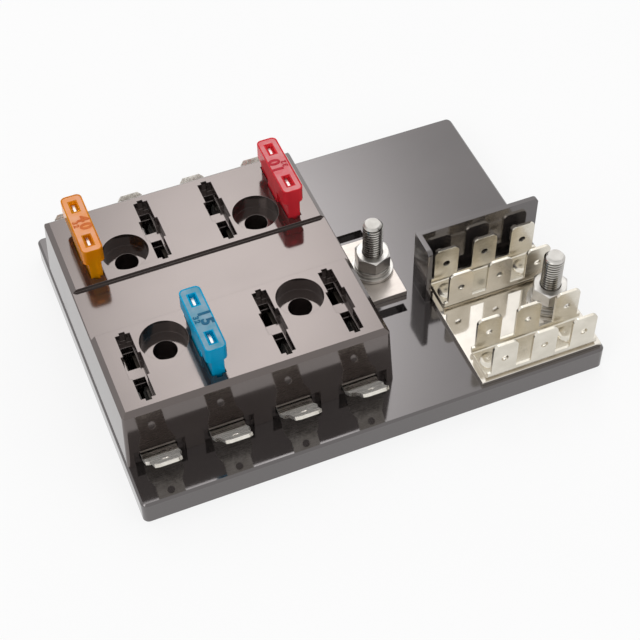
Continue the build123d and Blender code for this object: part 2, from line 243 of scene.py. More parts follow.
def maths(tree: Tree, operation: str, first: Socket, second: Socket | float) -> Socket:
    """Add a Math node on one socket and a socket or number.

    Args:
        tree: the node tree to add to.
        operation: the operation.
        first: first operand.
        second: second operand.

    Returns:
        The result's socket.
    """
    node = tree.nodes.new("ShaderNodeMath")
    node.operation = operation
    tree.links.new(first, node.inputs[0])
    if isinstance(second, Socket):
        tree.links.new(second, node.inputs[1])
    else:
        node.inputs[1].default_value = second
    return node.outputs["Value"]


def seen_or_mirrored(tree: Tree) -> Socket:
    """Tell the rays of the camera, of mirrors and of glass from those that light things.

    Args:
        tree: the node tree to add to.

    Returns:
        A socket that is 1 for the first kind and 0 for the other.
    """
    path = tree.nodes.new("ShaderNodeLightPath")
    seen = maths(tree, "MAXIMUM", path.outputs["Is Camera Ray"], path.outputs["Is Glossy Ray"])
    return maths(tree, "MAXIMUM", seen, path.outputs["Is Transmission Ray"])


def handling_marks_group() -> Tree:
    """Make the group of faint smears and hairlines that a handled glossy surface has.

    Returns:
        The group, with outputs Smear (0 to 1), Hairline (0 to 1) and Height (0 to 1).
    """
    tree, vector = new_group("handling_marks", ["Smear", "Hairline", "Height"])
    patches = noise_node(tree, vector, scale=38.0, detail=4.0, stretch=(1.0, 1.6, 1.0))
    smear = ranged(tree, patches, 0.0, 1.0, from_low=0.35, from_high=0.75)
    hair = noise_node(tree, vector, scale=900.0, detail=2.0, stretch=(1.0, 0.1, 1.0))
    hairline = ranged(tree, hair, 0.0, 0.6, from_low=0.7, from_high=0.78)
    waves = noise_node(tree, vector, scale=110.0, detail=1.0)
    pits = noise_node(tree, vector, scale=2600.0, detail=2.0)
    height = maths(tree, "ADD", waves, maths(tree, "MULTIPLY", pits, 0.05))
    out = tree.nodes["Out"].inputs
    tree.links.new(smear, out["Smear"])
    tree.links.new(hairline, out["Hairline"])
    tree.links.new(height, out["Height"])
    return tree


def plating_group() -> Tree:
    """Make the group of clouding and rolling lines that plated sheet metal has.

    Returns:
        The group, with outputs Cloud (0 to 1), Grain (0 to 1) and Height (0 to 1).
    """
    tree, vector = new_group("plating", ["Cloud", "Grain", "Height"])
    clouds = noise_node(tree, vector, scale=240.0, detail=5.0)
    cloud = ranged(tree, clouds, 0.0, 1.0, from_low=0.3, from_high=0.72)
    grain = noise_node(tree, vector, scale=3200.0, detail=3.0, stretch=(0.04, 1.0, 1.0))
    dents = noise_node(tree, vector, scale=420.0, detail=2.0)
    height = maths(tree, "ADD", maths(tree, "MULTIPLY", grain, 0.4), dents)
    out = tree.nodes["Out"].inputs
    tree.links.new(cloud, out["Cloud"])
    tree.links.new(grain, out["Grain"])
    tree.links.new(height, out["Height"])
    return tree


@dataclass(frozen=True)
class Finish:
    """A surface finish, with what each one shares."""

    name: str
    colour: Colour
    roughness: float

    def start(self) -> tuple[Material, Tree, Node]:
        """Make the material with a Principled BSDF that holds the constant values.

        Returns:
            The material, its node tree and the shader node.
        """
        material = bpy.data.materials.new(self.name)
        material.use_nodes = True
        tree = material.node_tree
        shader = tree.nodes["Principled BSDF"]
        shader.inputs["Base Color"].default_value = (*self.colour, 1.0)
        shader.inputs["Roughness"].default_value = self.roughness
        return material, tree, shader

    def effect(self, tree: Tree, group: Tree, size: float) -> Node:
        """Place a node group on Object coordinates.

        Args:
            tree: the material's node tree.
            group: the effect.
            size: value of its Size input.

        Returns:
            The group node.
        """
        place = tree.nodes.new("ShaderNodeTexCoord")
        node = tree.nodes.new("ShaderNodeGroup")
        node.node_tree = group
        node.inputs["Size"].default_value = size
        tree.links.new(place.outputs["Object"], node.inputs["Vector"])
        return node

    def tint(self, tree: Tree, shader: Node, mask: Socket, other: Colour) -> None:
        """Mix the base colour towards another one by a mask.

        Args:
            tree: the material's node tree.
            shader: the shader that takes the colour.
            mask: 0 for the finish's colour, 1 for the other.
            other: the other colour.
        """
        mix = tree.nodes.new("ShaderNodeMix")
        mix.data_type = "RGBA"
        mix.inputs["A"].default_value = (*self.colour, 1.0)
        mix.inputs["B"].default_value = (*other, 1.0)
        tree.links.new(mask, mix.inputs["Factor"])
        tree.links.new(mix.outputs["Result"], shader.inputs["Base Color"])

    def overlay(self, tree: Tree, shader: Node, mask: Socket, other: Colour) -> None:
        """Put another colour over the one that the shader has.

        Args:
            tree: the material's node tree.
            shader: the shader that takes the colour.
            mask: 1 where its colour stays, 0 for the other.
            other: the other colour.
        """
        bright = shader.inputs["Base Color"].links[0].from_socket
        mix = tree.nodes.new("ShaderNodeMix")
        mix.data_type = "RGBA"
        mix.inputs["A"].default_value = (*other, 1.0)
        tree.links.new(mask, mix.inputs["Factor"])
        tree.links.new(bright, mix.inputs["B"])
        tree.links.new(mix.outputs["Result"], shader.inputs["Base Color"])

    def dull(self, tree: Tree, shader: Node, smear: Socket) -> None:
        """Make the surface a little rougher where it is smeared.

        Args:
            tree: the material's node tree.
            shader: the shader that takes the roughness.
            smear: the smears' socket, 0 to 1.
        """
        rough = ranged(tree, smear, self.roughness, self.roughness + SMEAR_SPREAD, 0.0, 1.0)
        tree.links.new(rough, shader.inputs["Roughness"])

    def relief(
        self,
        tree: Tree,
        shader: Node,
        height: Socket,
        strength: float,
        distance: float,
    ) -> None:
        """Feed a height through a Bump node to the shader's normal.

        Args:
            tree: the material's node tree.
            shader: the shader that takes the normal.
            height: the height's socket.
            strength: strength of the bump.
            distance: its height, in metres.
        """
        bump = tree.nodes.new("ShaderNodeBump")
        bump.inputs["Strength"].default_value = strength
        bump.inputs["Distance"].default_value = distance
        tree.links.new(height, bump.inputs["Height"])
        tree.links.new(bump.outputs["Normal"], shader.inputs["Normal"])


@dataclass(frozen=True)
class GlossMoulding(Finish):
    """Black moulded plastic with a mirror gloss, faint smears and flow waves."""

    worn: Colour
    sheen: Colour
    size: float = 1.0
    ior: float = 1.65
    smear: float = 0.5
    waves: float = 0.12

    def build(self, marks: Tree) -> Material:
        """Make the material.

        Args:
            marks: the group of handling marks.

        Returns:
            The material.
        """
        material, tree, shader = self.start()
        shader.inputs["IOR"].default_value = self.ior
        shader.inputs["Specular IOR Level"].default_value = 1.0
        shader.inputs["Specular Tint"].default_value = (*self.sheen, 1.0)
        effect = self.effect(tree, marks, self.size)
        smeared = maths(tree, "MULTIPLY", effect.outputs["Smear"], self.smear)
        self.tint(tree, shader, maths(tree, "MAXIMUM", smeared, effect.outputs["Hairline"]), self.worn)
        self.dull(tree, shader, effect.outputs["Smear"])
        self.relief(tree, shader, effect.outputs["Height"], self.waves, WAVE_DEPTH)
        return material


@dataclass(frozen=True)
class Plating(Finish):
    """Tin or zinc plate over sheet metal and screws."""

    clouded: Colour
    spread: float = 0.12
    size: float = 1.0
    bump: float = 0.01
    strength: float = 0.25

    def build(self, plating: Tree) -> Material:
        """Make the material.

        Args:
            plating: the group of clouding and rolling lines.

        Returns:
            The material.
        """
        material, tree, shader = self.start()
        shader.inputs["Metallic"].default_value = 1.0
        effect = self.effect(tree, plating, self.size)
        self.tint(tree, shader, effect.outputs["Cloud"], self.clouded)
        rough = ranged(tree, effect.outputs["Grain"], self.roughness, self.roughness + self.spread)
        tree.links.new(rough, shader.inputs["Roughness"])
        self.press(tree, shader, effect)
        return material

    def press(self, tree: Tree, shader: Node, effect: Node) -> None:
        """Give the surface its fine relief.

        Args:
            tree: the material's node tree.
            shader: the shader that takes the normal.
            effect: the placed group of clouding and rolling lines.
        """
        self.relief(tree, shader, effect.outputs["Height"], self.strength, self.bump * MM)


@dataclass(frozen=True)
class ThreadedPlating(Plating):
    """Plated screw with painted shade in its thread roots, and a duller tip. Lengths in mm."""

    axis: Place = (0.0, 0.0, 0.0)
    # Colour of the painted shade in the thread roots.
    root_shade: Colour = (0.05, 0.045, 0.035)
    root: float = 2.2
    crest: float = 2.47
    tip: float = 0.75
    tip_roughness: float = 0.55
    head: float = 6.0
    edge: float = 0.05

    def build(self, plating: Tree) -> Material:
        """Make the material.

        Args:
            plating: the group of clouding and rolling lines.

        Returns:
            The material.
        """
        material = super().build(plating)
        tree = material.node_tree
        shader = tree.nodes["Principled BSDF"]
        place = tree.nodes.new("ShaderNodeTexCoord")
        centred = tree.nodes.new("ShaderNodeMapping")
        centred.inputs["Location"].default_value = (-self.axis[0], -self.axis[1], 0.0)
        centred.inputs["Scale"].default_value = (1.0, 1.0, 0.0)
        tree.links.new(place.outputs["Object"], centred.inputs["Vector"])
        away = tree.nodes.new("ShaderNodeVectorMath")
        away.operation = "LENGTH"
        tree.links.new(centred.outputs["Vector"], away.inputs[0])
        split = tree.nodes.new("ShaderNodeSeparateXYZ")
        tree.links.new(place.outputs["Object"], split.inputs["Vector"])
        point = self.axis[2] - self.tip * MM
        crest = ranged(tree, away.outputs["Value"], 0.0, 1.0, self.root * MM, self.crest * MM)
        tip = ranged(tree, split.outputs["Z"], 0.0, 1.0, point, point + self.edge * MM)
        head = ranged(tree, split.outputs["Z"], 1.0, 0.0, (self.head - self.edge) * MM, self.head * MM)
        # Painted shade: the thread roots between the head and the tip are darkened.
        unshaded = maths(tree, "MAXIMUM", crest, maths(tree, "MAXIMUM", tip, head))
        self.overlay(tree, shader, unshaded, self.root_shade)
        grain = shader.inputs["Roughness"].links[0].from_socket
        rough = maths(tree, "MAXIMUM", grain, maths(tree, "MULTIPLY", tip, self.tip_roughness))
        tree.links.new(rough, shader.inputs["Roughness"])
        return material


@dataclass(frozen=True)
class TinnedStrip(Plating):
    """Tinned sheet with pitted, scuffed tabs, and painted shade on the part inside the housing.
    Lengths in mm.
    """

    # Colour of the painted shade on the metal inside the housing.
    housing_shade: Colour = (0.05, 0.045, 0.04)
    inner: float = 29.5
    outer: float = 31.0
    scuff: Colour = (1.0, 0.97, 0.92)
    scuff_weight: float = 1.0
    scuff_roughness: float = 0.3
    pits: float = 1300.0
    pit_strength: float = 0.9
    pit_stretch: Place = (1.0, 0.35, 0.35)
    pit_depth: float = 0.15

    def build(self, plating: Tree) -> Material:
        """Make the material.

        Args:
            plating: the group of clouding and rolling lines.

        Returns:
            The material.
        """
        material = super().build(plating)
        tree = material.node_tree
        shader = tree.nodes["Principled BSDF"]
        place = tree.nodes.new("ShaderNodeTexCoord")
        split = tree.nodes.new("ShaderNodeSeparateXYZ")
        tree.links.new(place.outputs["Object"], split.inputs["Vector"])
        away = maths(tree, "ABSOLUTE", split.outputs["Y"], 0.0)
        outside = ranged(tree, away, 0.0, 1.0, self.inner * MM, self.outer * MM)
        # Painted shade: the metal inside the housing, nearer the middle than inner, is darkened.
        self.overlay(tree, shader, outside, self.housing_shade)
        shader.inputs["Sheen Weight"].default_value = self.scuff_weight
        shader.inputs["Sheen Roughness"].default_value = self.scuff_roughness
        shader.inputs["Sheen Tint"].default_value = (*self.scuff, 1.0)
        return material

    def press(self, tree: Tree, shader: Node, effect: Node) -> None:
        """Give the surface its pits.

        Args:
            tree: the material's node tree.
            shader: the shader that takes the normal.
            effect: the placed group of clouding and rolling lines.
        """
        place = effect.inputs["Vector"].links[0].from_socket
        pitted = noise_node(tree, place, self.pits, 2.0, self.pit_stretch)
        self.relief(tree, shader, pitted, self.pit_strength, self.pit_depth * MM)


@dataclass(frozen=True)
class TintedPlastic(Finish):
    """Clear coloured plastic of a fuse body, deeper in colour in random patches."""

    deep: Colour
    clear: float
    ior: float = 1.5
    specular: float = 0.06
    size: float = 2.0
    waves: float = 0.2

    def build(self, marks: Tree) -> Material:
        """Make the material.

        Args:
            marks: the group of handling marks.

        Returns:
            The material.
        """
        material, tree, shader = self.start()
        shader.inputs["IOR"].default_value = self.ior
        shader.inputs["Specular IOR Level"].default_value = self.specular
        shader.inputs["Specular Tint"].default_value = (*self.colour, 1.0)
        shader.inputs["Transmission Weight"].default_value = self.clear
        effect = self.effect(tree, marks, self.size)
        self.tint(tree, shader, effect.outputs["Smear"], self.deep)
        self.dull(tree, shader, effect.outputs["Smear"])
        self.relief(tree, shader, effect.outputs["Height"], self.waves, WAVE_DEPTH)
        return material


@dataclass(frozen=True)
class FuseSkin(Finish):
    """Opaque skin on top of a fuse: the frosted ground, or the figures that stand on it."""

    speck: Colour
    specular: float = 0.15
    size: float = 1.6
    grain: float = 0.3

    def build(self, plating: Tree) -> Material:
        """Make the material.

        Args:
            plating: the group whose clouding varies the frost.

        Returns:
            The material.
        """
        material, tree, shader = self.start()
        shader.inputs["Specular IOR Level"].default_value = self.specular
        effect = self.effect(tree, plating, self.size)
        self.tint(tree, shader, effect.outputs["Cloud"], self.speck)
        self.relief(tree, shader, effect.outputs["Grain"], self.grain, WAVE_DEPTH)
        return material


@dataclass(frozen=True)
class PaleFloor(Finish):
    """Plain pale sheet that the block stands on, clear from below, with a trace of mottling."""

    glow: float
    mottled: Colour = (0.86, 0.86, 0.86)
    size: float = 0.2

    def build(self, marks: Tree) -> Material:
        """Make the material, which the camera and reflections see as white where it is lit.

        Args:
            marks: the group of handling marks, which mottles the sheet.

        Returns:
            The material.
        """
        material, tree, shader = self.start()
        effect = self.effect(tree, marks, self.size)
        self.tint(tree, shader, effect.outputs["Smear"], self.mottled)
        shader.inputs["Specular IOR Level"].default_value = 0.0
        white = tree.nodes.new("ShaderNodeEmission")
        share = maths(tree, "MULTIPLY", seen_or_mirrored(tree), self.glow)
        mix = tree.nodes.new("ShaderNodeMixShader")
        tree.links.new(share, mix.inputs["Fac"])
        tree.links.new(shader.outputs["BSDF"], mix.inputs[1])
        tree.links.new(white.outputs["Emission"], mix.inputs[2])
        side = tree.nodes.new("ShaderNodeNewGeometry")
        clear = tree.nodes.new("ShaderNodeBsdfTransparent")
        sheet = tree.nodes.new("ShaderNodeMixShader")
        tree.links.new(side.outputs["Backfacing"], sheet.inputs["Fac"])
        tree.links.new(mix.outputs["Shader"], sheet.inputs[1])
        tree.links.new(clear.outputs["BSDF"], sheet.inputs[2])
        tree.links.new(sheet.outputs["Shader"], tree.nodes["Material Output"].inputs["Surface"])
        return material


class Finishes:
    """Every material of the block, built once."""

    def __init__(self) -> None:
        """Build the shared effects and the materials that use them."""
        marks = handling_marks_group()
        plating = plating_group()
        base = GlossMoulding(
            "base_moulding",
            (0.018, 0.0155, 0.015),
            0.05,
            worn=(0.036, 0.032, 0.03),
            sheen=(1.0, 0.94, 0.94),
        )
        housing = GlossMoulding(
            "housing_moulding",
            (0.02, 0.0155, 0.014),
            0.07,
            worn=(0.042, 0.036, 0.033),
            sheen=(1.0, 0.87, 0.83),
            size=1.4,
        )
        self.base = base.build(marks)
        self.housing = housing.build(marks)
        bar = Plating("tinned_bar", (0.6, 0.55, 0.51), 0.3, (0.52, 0.47, 0.43), spread=0.08)
        plate = Plating("tinned_plate", (0.7, 0.66, 0.6), 0.06, (0.62, 0.58, 0.52), spread=0.06)
        sheet = Plating("tinned_sheet", (0.72, 0.68, 0.6), 0.18, (0.62, 0.58, 0.5), spread=0.08)
        tabs = TinnedStrip(
            "tinned_tab", (0.8, 0.77, 0.71), 0.18, (0.55, 0.52, 0.46), spread=0.2, size=1.4
        )
        # The clips' near-black colour is painted shade, for the shade deep in the sockets.
        clips = Plating("clip_painted_shade", (0.07, 0.06, 0.05), 0.35, (0.04, 0.035, 0.03))
        steel, dull = (0.66, 0.64, 0.61), (0.5, 0.48, 0.45)
        screw = Plating("plated_steel", steel, 0.29, dull, spread=0.1, size=1.5, bump=0.004)
        self.bar = bar.build(plating)
        self.plate = plate.build(plating)
        self.sheet = sheet.build(plating)
        self.tabs = tabs.build(plating)
        self.clips = clips.build(plating)
        self.screw = screw.build(plating)
        self.threads: dict[str, Material] = {}
        for name in ("main", "ground"):
            low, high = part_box(f"{name}_stud")
            axis = ((low.x + high.x) / 2, (low.y + high.y) / 2, high.z)
            thread = ThreadedPlating(
                f"{name}_stud_steel", steel, 0.16, dull, spread=0.1, size=1.5, bump=0.002, axis=axis
            )
            self.threads[name] = thread.build(plating)
        fuse_metal = Plating("fuse_metal", (0.88, 0.87, 0.85), 0.42, (0.78, 0.77, 0.75))
        self.fuse_metal = fuse_metal.build(plating)
        self.tints: dict[str, Material] = {}
        self.frosts: dict[str, Material] = {}
        self.figures: dict[str, Material] = {}
        for name, kind in FUSES.items():
            tint = TintedPlastic(f"fuse_{name}", kind.tint, 0.15, kind.deep, kind.clear)
            frost = FuseSkin(f"frost_{name}", kind.frost, kind.frost_roughness, kind.frost_speck)
            figures = FuseSkin(f"figures_{name}", kind.figures, 0.3, kind.figures_speck)
            self.tints[name] = tint.build(marks)
            self.frosts[name] = frost.build(plating)
            self.figures[name] = figures.build(plating)
        self.floor = PaleFloor("pale_floor", (0.9, 0.9, 0.9), 0.9, glow=0.8).build(marks)


def dress(node: str, material: Material) -> None:
    """Give a carried-over CAD node its finish.

    Args:
        node: the node's name.
        material: the finish.
    """
    piece = frame["nodes"][node]
    for slot in piece.material_slots:
        slot.material = material
    LOG.info("dressed %s", node)


def finish_mesh(
    name: str, work: Shape, material: Material, sharp: float = SMOOTH_TURN
) -> bpy.types.Object:
    """Turn a bmesh into an object at the origin, smooth shaded up to an angle.

    Args:
        name: name of the piece.
        work: the shape, in metres; it is freed.
        material: its finish.
        sharp: angle in degrees past which an edge stays sharp.

    Returns:
        The new object.
    """
    mesh = bpy.data.meshes.new(name)
    work.to_mesh(mesh)
    work.free()
    for face in mesh.polygons:
        face.use_smooth = True
    mesh.set_sharp_from_angle(angle=radians(sharp))
    mesh.materials.append(material)
    piece = bpy.data.objects.new(name, mesh)
    bpy.context.scene.collection.objects.link(piece)
    weighted = piece.modifiers.new("weighted_normals", "WEIGHTED_NORMAL")
    weighted.keep_sharp = True
    LOG.info("built %s: %d faces", name, len(mesh.polygons))
    return piece


def bevel_edges(work: Shape, edges: list[Edge], width: float, segments: int = 2) -> None:
    """Round some edges of a shape.

    Args:
        work: the shape.
        edges: the edges to round.
        width: offset of the bevel, in metres.
        segments: how many strips it has.
    """
    bmesh.ops.bevel(
        work,
        geom=edges,
        offset=width,
        offset_type="OFFSET",
        affect="EDGES",
        segments=segments,
        profile=0.5,
        clamp_overlap=True,
        material=-1,
    )


def merged_copy(node: str) -> Shape:
    """Copy a CAD node's shape, with its loose triangles joined into flat faces.

    Args:
        node: the node's name.

    Returns:
        The copy.
    """
    work = bmesh.new()
    work.from_mesh(frame["nodes"][node].data)
    bmesh.ops.remove_doubles(work, verts=work.verts, dist=MERGE_DISTANCE / 2)
    bmesh.ops.dissolve_limit(
        work,
        angle_limit=radians(FLAT_TURN),
        use_dissolve_boundaries=False,
        verts=work.verts,
        edges=work.edges,
    )
    return work


def cut_level(work: Shape, height: float, side: float) -> list[bmesh.types.BMFace]:
    """Cut a shape at a level, drop what lies on one side and close the cut.

    Args:
        work: the shape.
        height: the level, in metres.
        side: 1 to drop what is above, -1 to drop what is below.

    Returns:
        The faces that close it.
    """
    cut = bmesh.ops.bisect_plane(
        work,
        geom=work.verts[:] + work.edges[:] + work.faces[:],
        dist=CUT_DISTANCE,
        plane_co=(0.0, 0.0, height),
        plane_no=(0.0, 0.0, side),
        clear_outer=True,
    )
    rim = [item for item in cut["geom_cut"] if isinstance(item, Edge)]
    return bmesh.ops.contextual_create(work, geom=rim)["faces"]


def sharp_edges(work: Shape, angle: float) -> list[Edge]:
    """Choose the edges whose faces turn by more than an angle.

    Args:
        work: the shape.
        angle: the least turn, in degrees.

    Returns:
        The edges.
    """
    limit = radians(angle)
    return [e for e in work.edges if len(e.link_faces) == 2 and e.calc_face_angle(0.0) > limit]


def stand_in(piece: bpy.types.Object, node: str) -> None:
    """Make a piece ride on a node's body and replace it.

    Args:
        piece: the new piece.
        node: the CAD node it stands for.
    """
    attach(piece, frame["nodes"][node]["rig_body"])
    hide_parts(node)


def rounded_copy(node: str, material: Material, width: float) -> None:
    """Build the piece that stands for a CAD node, with its hard edges rounded.

    Args:
        node: the node's name.
        material: its finish.
        width: size of the rounding, in metres.
    """
    work = merged_copy(node)
    bevel_edges(work, sharp_edges(work, HARD_TURN), width)
    stand_in(finish_mesh(f"{node}_rounded", work, material), node)


def profile_line(work: Shape, points: list[tuple[float, float]]) -> list[Vertex | Edge]:
    """Draw a line beside the Z axis, ready to be spun.

    Args:
        work: the shape to draw in.
        points: radius and height of each point, in metres.

    Returns:
        The points and then the edges of the line.
    """
    verts = [work.verts.new((radius, 0.0, height)) for radius, height in points]
    return verts + [work.edges.new(pair) for pair in zip(verts, verts[1:])]


@dataclass
class Mouldings:
    """The base with its barrier wall, and the fuse housing."""

    finishes: Finishes
    base_rounding: float = 0.18 * MM
    housing_rounding: float = 0.16 * MM
    rim_rounding: float = 0.4 * MM
    rim_depth: float = 2.4 * MM

    def build(self) -> None:
        """Build both mouldings."""
        rounded_copy("base_plate", self.finishes.base, self.base_rounding)
        self.build_housing()

    def build_housing(self) -> None:
        """Round the outer edges of the housing's top well, and the others a little."""
        node = "fuse_housing"
        low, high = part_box(node)
        work = merged_copy(node)
        outline = [edge for edge in sharp_edges(work, CORNER_TURN) if self.on_rim(edge, low, high)]
        bevel_edges(work, outline, self.rim_rounding, segments=4)
        bevel_edges(work, sharp_edges(work, HARD_TURN), self.housing_rounding)
        stand_in(finish_mesh(f"{node}_rounded", work, self.finishes.housing), node)

    def on_rim(self, edge: Edge, low: Vector, high: Vector) -> bool:
        """Tell whether an edge belongs to the outline of the top.

        Args:
            edge: the edge.
            low: lower corner of the housing's box.
            high: upper corner of the box.

        Returns:
            True where the edge runs along the top's outer chamfer.
        """
        reach = self.rim_depth
        for vert in edge.verts:
            place = vert.co
            beside = min(place.x - low.x, high.x - place.x, place.y - low.y, high.y - place.y)
            if place.z < high.z - reach or beside > reach:
                return False
        return True


@dataclass
class Busbar:
    """The supply bar and the clips brazed to it."""

    finishes: Finishes
    rounding: float = 0.12 * MM

    def build(self) -> None:
        """Round the bar's edges and dress the clips."""
        rounded_copy("bus_bar", self.finishes.bar, self.rounding)
        for row in Row:
            for column in COLUMNS:
                dress(f"bus_clip_{row.value}_{column}", self.finishes.clips)


@dataclass
class LoadTerminals:
    """The eight folded terminals at the foot of the housing."""

    finishes: Finishes
    rounding: float = 0.08 * MM

    def build(self) -> None:
        """Round the edges of each terminal."""
        for row in Row:
            for column in COLUMNS:
                rounded_copy(f"load_terminal_{row.value}_{column}", self.finishes.tabs, self.rounding)


@dataclass
class StudStack:
    """A stud with its washers and nut. Its thread starts some pitches below the washers."""

    finishes: Finishes
    name: str
    radius: float = 2.5 * MM
    pitch: float = 0.8 * MM
    pitches_below: int = 2
    crest_share: float = 0.125
    thread_depth: float = 0.45 * MM
    tip: float = 0.7 * MM
    tip_share: float = 0.8
    steps: int = 36
    thread_angle: float = 40.0
    washer_rounding: float = 0.12 * MM
    half_flats: float = 4.0 * MM
    chamfer_share: float = 0.97
    chamfer_slope: float = radians(30.0)
    chamfer_planes: int = 36
    nut_rounding: float = 0.06 * MM
    nut_turn: float = 50.0
    nut_angle: float = 25.0

    def axis(self) -> Vector:
        """Return the point of the stud's axis at Z = 0."""
        low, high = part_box(f"{self.name}_stud")
        centre = (low + high) / 2
        return Vector((centre.x, centre.y, 0.0))

    def build(self) -> None:
        """Build the stud, washers and nut."""
        self.build_stud()
        self.build_nut()
        for kind in ("flat_washer", "lock_washer"):
            rounded_copy(f"{self.name}_{kind}", self.finishes.screw, self.washer_rounding)

    def build_stud(self) -> None:
        """Cut a helical thread round the stud, down to its head."""
        node = f"{self.name}_stud"
        low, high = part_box(node)
        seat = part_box(f"{self.name}_flat_washer")[0].z
        start = seat - self.pitches_below * self.pitch
        turns = int((high.z - start) / self.pitch) + 2
        root = self.radius - self.thread_depth
        flat = self.pitch * self.crest_share
        work = bmesh.new()
        profile = [
            (self.radius, 0.0),
            (self.radius, flat),
            (root, self.pitch / 2),
            (root, self.pitch / 2 + flat),
            (self.radius, self.pitch),
        ]
        bmesh.ops.spin(
            work,
            geom=profile_line(work, [(radius, start + height) for radius, height in profile]),
            cent=(0.0, 0.0, 0.0),
            axis=(0.0, 0.0, 1.0),
            dvec=(0.0, 0.0, self.pitch / self.steps),
            angle=2 * pi * turns,
            steps=self.steps * turns,
            use_merge=False,
            use_normal_flip=False,
            use_duplicate=False,
        )
        bmesh.ops.remove_doubles(work, verts=work.verts, dist=MERGE_DISTANCE)
        cap = cut_level(work, high.z - self.tip, 1.0)
        self.taper(work, cap[0])
        cut_level(work, start + self.pitch, -1.0)
        bmesh.ops.translate(work, verts=work.verts, vec=self.axis())
        lower = merged_copy(node)
        cut_level(lower, start + self.pitch, 1.0)
        rest = bpy.data.meshes.new(f"{self.name}_stud_lower")
        lower.to_mesh(rest)
        lower.free()
        work.from_mesh(rest)
        bpy.data.meshes.remove(rest)
        bmesh.ops.recalc_face_normals(work, faces=work.faces)
        steel = self.finishes.threads[self.name]
        stand_in(finish_mesh(f"{self.name}_stud_threaded", work, steel, self.thread_angle), node)

    def taper(self, work: Shape, cap: bmesh.types.BMFace) -> None:
        """Draw the top of the stud in to its point.

        Args:
            work: the stud's shape, round Z.
            cap: its flat top face.
        """
        grown = bmesh.ops.extrude_face_region(work, geom=[cap])
        verts = [v for v in grown["geom"] if isinstance(v, Vertex)]
        bmesh.ops.delete(work, geom=[cap], context="FACES_ONLY")
        bmesh.ops.scale(work, vec=(self.tip_share, self.tip_share, 1.0), verts=verts)
        bmesh.ops.translate(work, vec=(0.0, 0.0, self.tip), verts=verts)

    def build_nut(self) -> None:
        """Cut the corners of the hexagon back to a cone at each end."""
        node = f"{self.name}_nut"
        low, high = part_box(node)
        axis = self.axis()
        work = merged_copy(node)
        slope = self.chamfer_slope
        for end, z in ((1, high.z), (-1, low.z)):
            for index in range(self.chamfer_planes):
                turn = 2 * pi * (index + 0.5) / self.chamfer_planes
                outward = Vector((cos(turn), sin(turn), 0.0))
                normal = outward * sin(slope) + Vector((0.0, 0.0, end * cos(slope)))
                touch = axis + outward * self.half_flats * self.chamfer_share + Vector((0.0, 0.0, z))
                cut = bmesh.ops.bisect_plane(
                    work,
                    geom=work.verts[:] + work.edges[:] + work.faces[:],
                    dist=CUT_DISTANCE,
                    plane_co=touch,
                    plane_no=normal,
                    clear_outer=True,
                )
                rim = [item for item in cut["geom_cut"] if isinstance(item, Edge)]
                bmesh.ops.holes_fill(work, edges=[e for e in rim if e.is_valid], sides=0)
        bevel_edges(work, sharp_edges(work, self.nut_turn), self.nut_rounding)
        bmesh.ops.recalc_face_normals(work, faces=work.faces)
        stand_in(finish_mesh(f"{node}_chamfered", work, self.finishes.screw, self.nut_angle), node)


@dataclass
class GroundBus:
    """The ground plate, its two tab strips and the rivets that hold them."""

    finishes: Finishes
    sheet: float = 0.8 * MM
    sheet_tolerance: float = 0.02 * MM
    sheet_rounding: float = 0.08 * MM
    plate_rounding: float = 0.12 * MM
    corner_depth: float = 3.0 * MM
    corner_rounding: float = 0.4 * MM
    rivet_shape: tuple[tuple[float, float], ...] = (
        (1.0, 0.0),
        (1.0, 0.35),
        (0.86, 0.75),
        (0.5, 0.97),
        (0.0, 1.0),
    )
    rivet_steps: int = 40
    rivet_radius: float = 2.5 * MM
    rivet_height: float = 0.7 * MM
    rivet_spacing: float = 20.5 * MM
    rivet_shift: float = -1.2 * MM

    def build(self) -> None:
        """Build the plate, the strips and the rivets."""
        rounded_copy("ground_plate", self.finishes.plate, self.plate_rounding)
        for row in Row:
            node = f"ground_strip_{row.value}"
            self.build_strip(node)
            for side in (-1, 1):
                self.build_rivet(node, side)

    def build_strip(self, node: str) -> None:
        """Round the corners of a strip's tabs, and then all its edges.

        Args:
            node: the strip's node.
        """
        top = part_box(node)[1].z
        work = merged_copy(node)
        corners = [
            edge
            for edge in sharp_edges(work, CORNER_TURN)
            if abs(edge.calc_length() - self.sheet) < self.sheet_tolerance
            and min(vert.co.z for vert in edge.verts) > top - self.corner_depth
        ]
        bevel_edges(work, corners, self.corner_rounding, segments=3)
        bevel_edges(work, sharp_edges(work, HARD_TURN), self.sheet_rounding)
        stand_in(finish_mesh(f"{node}_rounded", work, self.finishes.sheet), node)

    def build_rivet(self, node: str, side: int) -> None:
        """Press one rivet head on a strip's floor.

        Args:
            node: the strip's node.
            side: -1 for the rivet nearest the housing, 1 for the other.
        """
        low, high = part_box(node)
        centre = (low + high) / 2
        x = centre.x + self.rivet_shift + side * self.rivet_spacing / 2
        work = bmesh.new()
        profile = [(r * self.rivet_radius, h * self.rivet_height) for r, h in self.rivet_shape]
        bmesh.ops.spin(
            work,
            geom=profile_line(work, profile),
            cent=(0.0, 0.0, 0.0),
            axis=(0.0, 0.0, 1.0),
            angle=2 * pi,
            steps=self.rivet_steps,
            use_merge=True,
        )
        bmesh.ops.remove_doubles(work, verts=work.verts, dist=MERGE_DISTANCE)
        bmesh.ops.holes_fill(work, edges=work.edges, sides=0)
        bmesh.ops.recalc_face_normals(work, faces=work.faces)
        bmesh.ops.translate(work, verts=work.verts, vec=(x, centre.y, low.z + self.sheet))
        label = "left" if side < 0 else "right"
        rivet = finish_mesh(f"{node}_rivet_{label}", work, self.finishes.sheet)
        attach(rivet, "base")


